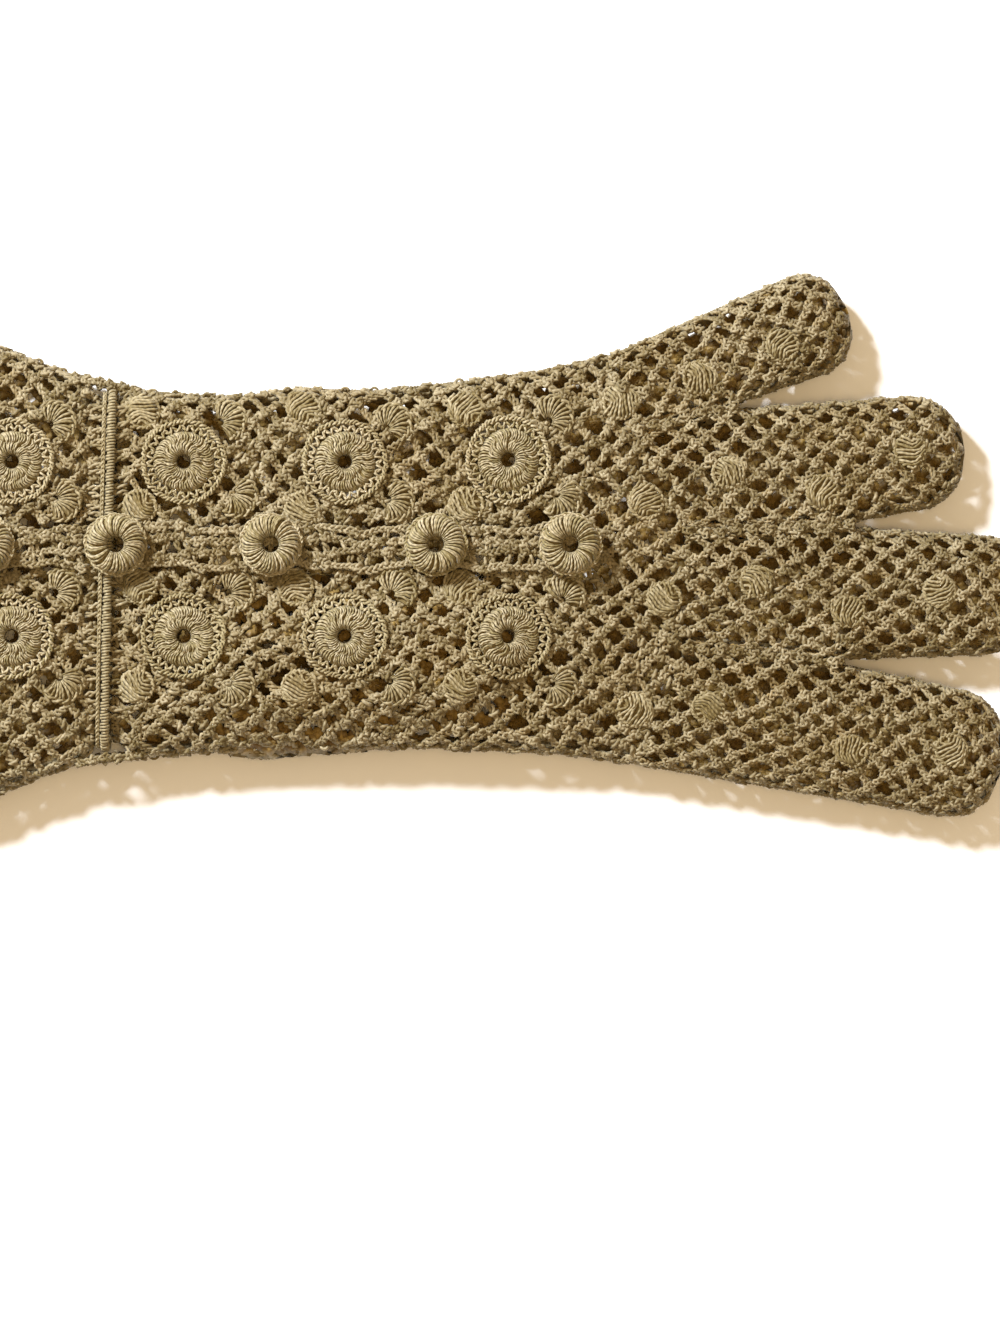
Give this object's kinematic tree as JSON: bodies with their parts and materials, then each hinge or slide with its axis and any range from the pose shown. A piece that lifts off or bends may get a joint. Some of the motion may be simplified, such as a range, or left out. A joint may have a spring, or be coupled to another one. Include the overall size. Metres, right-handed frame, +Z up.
{
  "type": "crochet glove",
  "caption": "Flat-lying crochet dress glove with a flared openwork cuff, corded wrist, round motifs, ring buttons along the back, four closed fingers and a palm-side thumb",
  "frame": {"origin": "middle of the glove's bounding box in plan, on the underside it rests on", "axes": "+X points from the cuff to the fingertips, +Y towards the little finger, +Z up through the back of the hand"},
  "size_m": [0.2496, 0.122, 0.0167],
  "materials": {
    "crochet_net": "matt ecru cotton thread worked as an open net",
    "hem_crochet": "matt ecru cotton thread in a plain edging row",
    "wrapped_cord": "matt ecru cotton thread wrapped closely over a core",
    "motif_crochet": "matt ecru cotton thread in radial stitches",
    "placket_crochet": "matt ecru cotton thread in rows of chain",
    "ring_button": "matt ecru cotton thread worked over a padded ring"
  },
  "bodies": {
    "root": {"hand_net": "crochet_net", "cuff_net": "crochet_net", "hem_edging": "hem_crochet", "little_finger": "crochet_net", "ring_finger": "crochet_net", "middle_finger": "crochet_net", "index_finger": "crochet_net", "thumb": "crochet_net", "wrist_cord": "wrapped_cord", "ring_motif_cuff_little_1": "motif_crochet", "ring_motif_cuff_little_2": "motif_crochet", "ring_motif_cuff_index_1": "motif_crochet", "ring_motif_cuff_index_2": "motif_crochet", "ring_motif_hand_little_1": "motif_crochet", "ring_motif_hand_little_2": "motif_crochet", "ring_motif_hand_little_3": "motif_crochet", "ring_motif_hand_index_1": "motif_crochet", "ring_motif_hand_index_2": "motif_crochet", "ring_motif_hand_index_3": "motif_crochet", "placket_cuff": "placket_crochet", "placket_hand": "placket_crochet", "button_cuff_1": "ring_button", "button_cuff_2": "ring_button", "button_wrist": "ring_button", "button_hand_1": "ring_button", "button_hand_2": "ring_button", "button_hand_3": "ring_button"}
  },
  "joints": []
}
